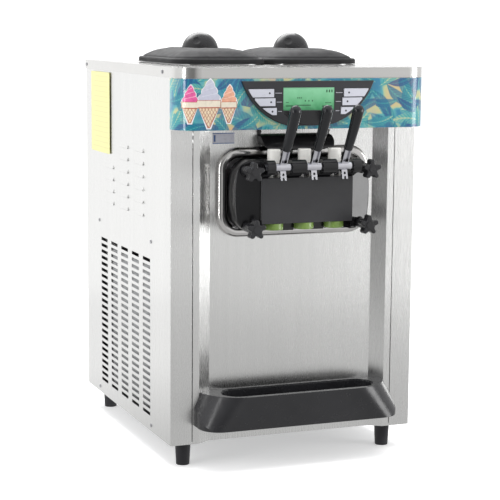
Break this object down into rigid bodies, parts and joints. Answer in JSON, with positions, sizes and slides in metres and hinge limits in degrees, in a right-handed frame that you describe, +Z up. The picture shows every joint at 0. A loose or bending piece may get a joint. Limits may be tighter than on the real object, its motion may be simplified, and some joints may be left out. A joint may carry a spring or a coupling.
{
  "type": "soft serve machine",
  "caption": "Countertop soft serve machine: stainless cabinet, lidded hoppers, black dispensing door with draw levers, control panel, side vents and a drip tray.",
  "frame": {"origin": "on the floor at the middle of the whole machine's box at rest", "axes": "+X is the machine's right seen by a customer in front, -Y is the front with the levers, +Z is up"},
  "size_m": [0.5276, 0.7485, 0.8518],
  "materials": {
    "panel_steel": "brushed stainless sheet",
    "deck_steel": "brushed stainless sheet",
    "hopper_steel": "satin stainless",
    "polished_bead": "polished stainless",
    "inner_steel": "galvanised sheet",
    "black_gloss": "polished black moulding",
    "black_satin": "satin black moulding",
    "slate_plastic": "fine textured dark grey moulding",
    "bezel_plastic": "dark grey panel",
    "screen_green": "lit green display window",
    "button_white": "white moulding",
    "piston_cream": "cream food-grade moulding",
    "nozzle_lime": "lime green moulding",
    "lever_chrome": "bright chrome",
    "grip_black": "smooth black moulding",
    "foot_rubber": "black rubber",
    "seal_rubber": "black rubber",
    "screw_steel": "bright screw",
    "motor_grey": "grey enamel",
    "compressor_black": "black enamel",
    "fin_alloy": "plain alloy fins",
    "cast_alloy": "cast alloy"
  },
  "bodies": {
    "cabinet": {"base_pan": "inner_steel", "frame_posts": "inner_steel", "levelling_feet": "foot_rubber", "left_side_panel": "panel_steel", "right_side_panel": "panel_steel", "panel_screws": "screw_steel", "front_panel": "panel_steel", "door_surround": "polished_bead", "rear_panel": "panel_steel", "cable_gland": "black_satin", "top_cover": "deck_steel", "head_shell": "deck_steel", "control_panel": "bezel_plastic", "display_screen": "screen_green", "left_hopper": "hopper_steel", "right_hopper": "hopper_steel", "dispensing_door": "black_gloss", "door_plate": "slate_plastic", "door_gasket": "seal_rubber", "pivot_rod": "lever_chrome", "door_studs": "screw_steel", "nozzle_caps": "nozzle_lime", "splash_visor": "black_gloss", "freezing_cylinders": "hopper_steel", "beater_motor": "motor_grey", "gearboxes": "cast_alloy", "drive_belts": "seal_rubber", "compressor": "compressor_black", "condenser": "fin_alloy", "fan_shroud": "inner_steel", "fan_motor": "motor_grey", "electrical_box": "inner_steel"},
    "left_lid": {"left_lid": "black_satin"},
    "right_lid": {"right_lid": "black_satin"},
    "drip_tray": {"drip_tray": "black_satin"},
    "fan": {"fan_blade": "black_satin"},
    "motor_pulley": {"motor_pulley": "cast_alloy"},
    "left_pulley": {"left_pulley": "cast_alloy"},
    "left_beater": {"left_beater": "hopper_steel"},
    "right_pulley": {"right_pulley": "cast_alloy"},
    "right_beater": {"right_beater": "hopper_steel"},
    "left_draw_lever": {"left_lever": "lever_chrome", "left_grip": "grip_black"},
    "left_piston": {"left_piston": "piston_cream"},
    "middle_draw_lever": {"middle_lever": "lever_chrome", "middle_grip": "grip_black"},
    "middle_piston": {"middle_piston": "piston_cream"},
    "right_draw_lever": {"right_lever": "lever_chrome", "right_grip": "grip_black"},
    "right_piston": {"right_piston": "piston_cream"},
    "left_upper_button": {"left_upper_button": "button_white"},
    "left_middle_button": {"left_middle_button": "button_white"},
    "left_lower_button": {"left_lower_button": "button_white"},
    "right_upper_button": {"right_upper_button": "button_white"},
    "right_middle_button": {"right_middle_button": "button_white"},
    "right_lower_button": {"right_lower_button": "button_white"},
    "upper_left_star_knob": {"upper_left_star_knob": "black_satin"},
    "upper_right_star_knob": {"upper_right_star_knob": "black_satin"},
    "lower_left_star_knob": {"lower_left_star_knob": "black_satin"},
    "lower_right_star_knob": {"lower_right_star_knob": "black_satin"}
  },
  "joints": [
    {"name": "left_lever_pull", "type": "hinge", "parent": "cabinet", "child": "left_draw_lever", "pos_m": [-0.0642, -0.3016, 0.5995], "axis": [1, 0, 0], "range_deg": [0, 46]},
    {"name": "left_piston_lift", "type": "slide", "parent": "cabinet", "child": "left_piston", "axis": [0, 0, 1], "range_m": [0, 0.0343]},
    {"name": "middle_lever_pull", "type": "hinge", "parent": "cabinet", "child": "middle_draw_lever", "pos_m": [0, -0.3016, 0.5995], "axis": [1, 0, 0], "range_deg": [0, 46]},
    {"name": "middle_piston_lift", "type": "slide", "parent": "cabinet", "child": "middle_piston", "axis": [0, 0, 1], "range_m": [0, 0.0343]},
    {"name": "right_lever_pull", "type": "hinge", "parent": "cabinet", "child": "right_draw_lever", "pos_m": [0.0642, -0.3016, 0.5995], "axis": [1, 0, 0], "range_deg": [0, 46]},
    {"name": "right_piston_lift", "type": "slide", "parent": "cabinet", "child": "right_piston", "axis": [0, 0, 1], "range_m": [0, 0.0343]},
    {"name": "left_upper_button_press", "type": "slide", "parent": "cabinet", "child": "left_upper_button", "axis": [0, 1, 0], "range_m": [0, 0.0012], "stiffness_N_per_m": 400, "springref_m": -0.0008},
    {"name": "left_middle_button_press", "type": "slide", "parent": "cabinet", "child": "left_middle_button", "axis": [0, 1, 0], "range_m": [0, 0.0012], "stiffness_N_per_m": 400, "springref_m": -0.0008},
    {"name": "left_lower_button_press", "type": "slide", "parent": "cabinet", "child": "left_lower_button", "axis": [0, 1, 0], "range_m": [0, 0.0012], "stiffness_N_per_m": 400, "springref_m": -0.0008},
    {"name": "right_upper_button_press", "type": "slide", "parent": "cabinet", "child": "right_upper_button", "axis": [0, 1, 0], "range_m": [0, 0.0012], "stiffness_N_per_m": 400, "springref_m": -0.0008},
    {"name": "right_middle_button_press", "type": "slide", "parent": "cabinet", "child": "right_middle_button", "axis": [0, 1, 0], "range_m": [0, 0.0012], "stiffness_N_per_m": 400, "springref_m": -0.0008},
    {"name": "right_lower_button_press", "type": "slide", "parent": "cabinet", "child": "right_lower_button", "axis": [0, 1, 0], "range_m": [0, 0.0012], "stiffness_N_per_m": 400, "springref_m": -0.0008},
    {"name": "upper_left_star_knob_turn", "type": "hinge", "parent": "cabinet", "child": "upper_left_star_knob", "pos_m": [-0.1225, -0.3036, 0.5915], "axis": [0, -1, 0], "continuous": true},
    {"name": "upper_right_star_knob_turn", "type": "hinge", "parent": "cabinet", "child": "upper_right_star_knob", "pos_m": [0.1225, -0.3036, 0.5915], "axis": [0, -1, 0], "continuous": true},
    {"name": "lower_left_star_knob_turn", "type": "hinge", "parent": "cabinet", "child": "lower_left_star_knob", "pos_m": [-0.1185, -0.3036, 0.4825], "axis": [0, -1, 0], "continuous": true},
    {"name": "lower_right_star_knob_turn", "type": "hinge", "parent": "cabinet", "child": "lower_right_star_knob", "pos_m": [0.1185, -0.3036, 0.4825], "axis": [0, -1, 0], "continuous": true},
    {"name": "left_lid_lift", "type": "slide", "parent": "cabinet", "child": "left_lid", "axis": [0, 0, 1], "range_m": [0, 0.12]},
    {"name": "right_lid_lift", "type": "slide", "parent": "cabinet", "child": "right_lid", "axis": [0, 0, 1], "range_m": [0, 0.12]},
    {"name": "drip_tray_pull", "type": "slide", "parent": "cabinet", "child": "drip_tray", "axis": [0, -1, 0], "range_m": [0, 0.06]},
    {"name": "fan_spin", "type": "hinge", "parent": "cabinet", "child": "fan", "pos_m": [-0.17, 0.0664, 0.235], "axis": [1, 0, 0], "continuous": true},
    {"name": "motor_spin", "type": "hinge", "parent": "cabinet", "child": "motor_pulley", "pos_m": [0, 0.3, 0.132], "axis": [0, 1, 0], "continuous": true},
    {"name": "left_pulley_spin", "type": "hinge", "parent": "cabinet", "child": "left_pulley", "pos_m": [-0.0642, 0.3, 0.544], "axis": [0, 1, 0], "continuous": true},
    {"name": "left_beater_spin", "type": "hinge", "parent": "cabinet", "child": "left_beater", "pos_m": [-0.0642, 0, 0.544], "axis": [0, 1, 0], "continuous": true},
    {"name": "right_pulley_spin", "type": "hinge", "parent": "cabinet", "child": "right_pulley", "pos_m": [0.0642, 0.3, 0.544], "axis": [0, 1, 0], "continuous": true},
    {"name": "right_beater_spin", "type": "hinge", "parent": "cabinet", "child": "right_beater", "pos_m": [0.0642, 0, 0.544], "axis": [0, 1, 0], "continuous": true}
  ],
  "couplings": [
    {"joint": "left_piston_lift", "follows": "left_lever_pull", "m_per_rad": 0.042633},
    {"joint": "middle_piston_lift", "follows": "middle_lever_pull", "m_per_rad": 0.042633},
    {"joint": "right_piston_lift", "follows": "right_lever_pull", "m_per_rad": 0.042633},
    {"joint": "left_pulley_spin", "follows": "motor_spin", "ratio": 0.5},
    {"joint": "left_beater_spin", "follows": "motor_spin", "ratio": 0.125},
    {"joint": "right_pulley_spin", "follows": "motor_spin", "ratio": 0.5},
    {"joint": "right_beater_spin", "follows": "motor_spin", "ratio": 0.125}
  ]
}
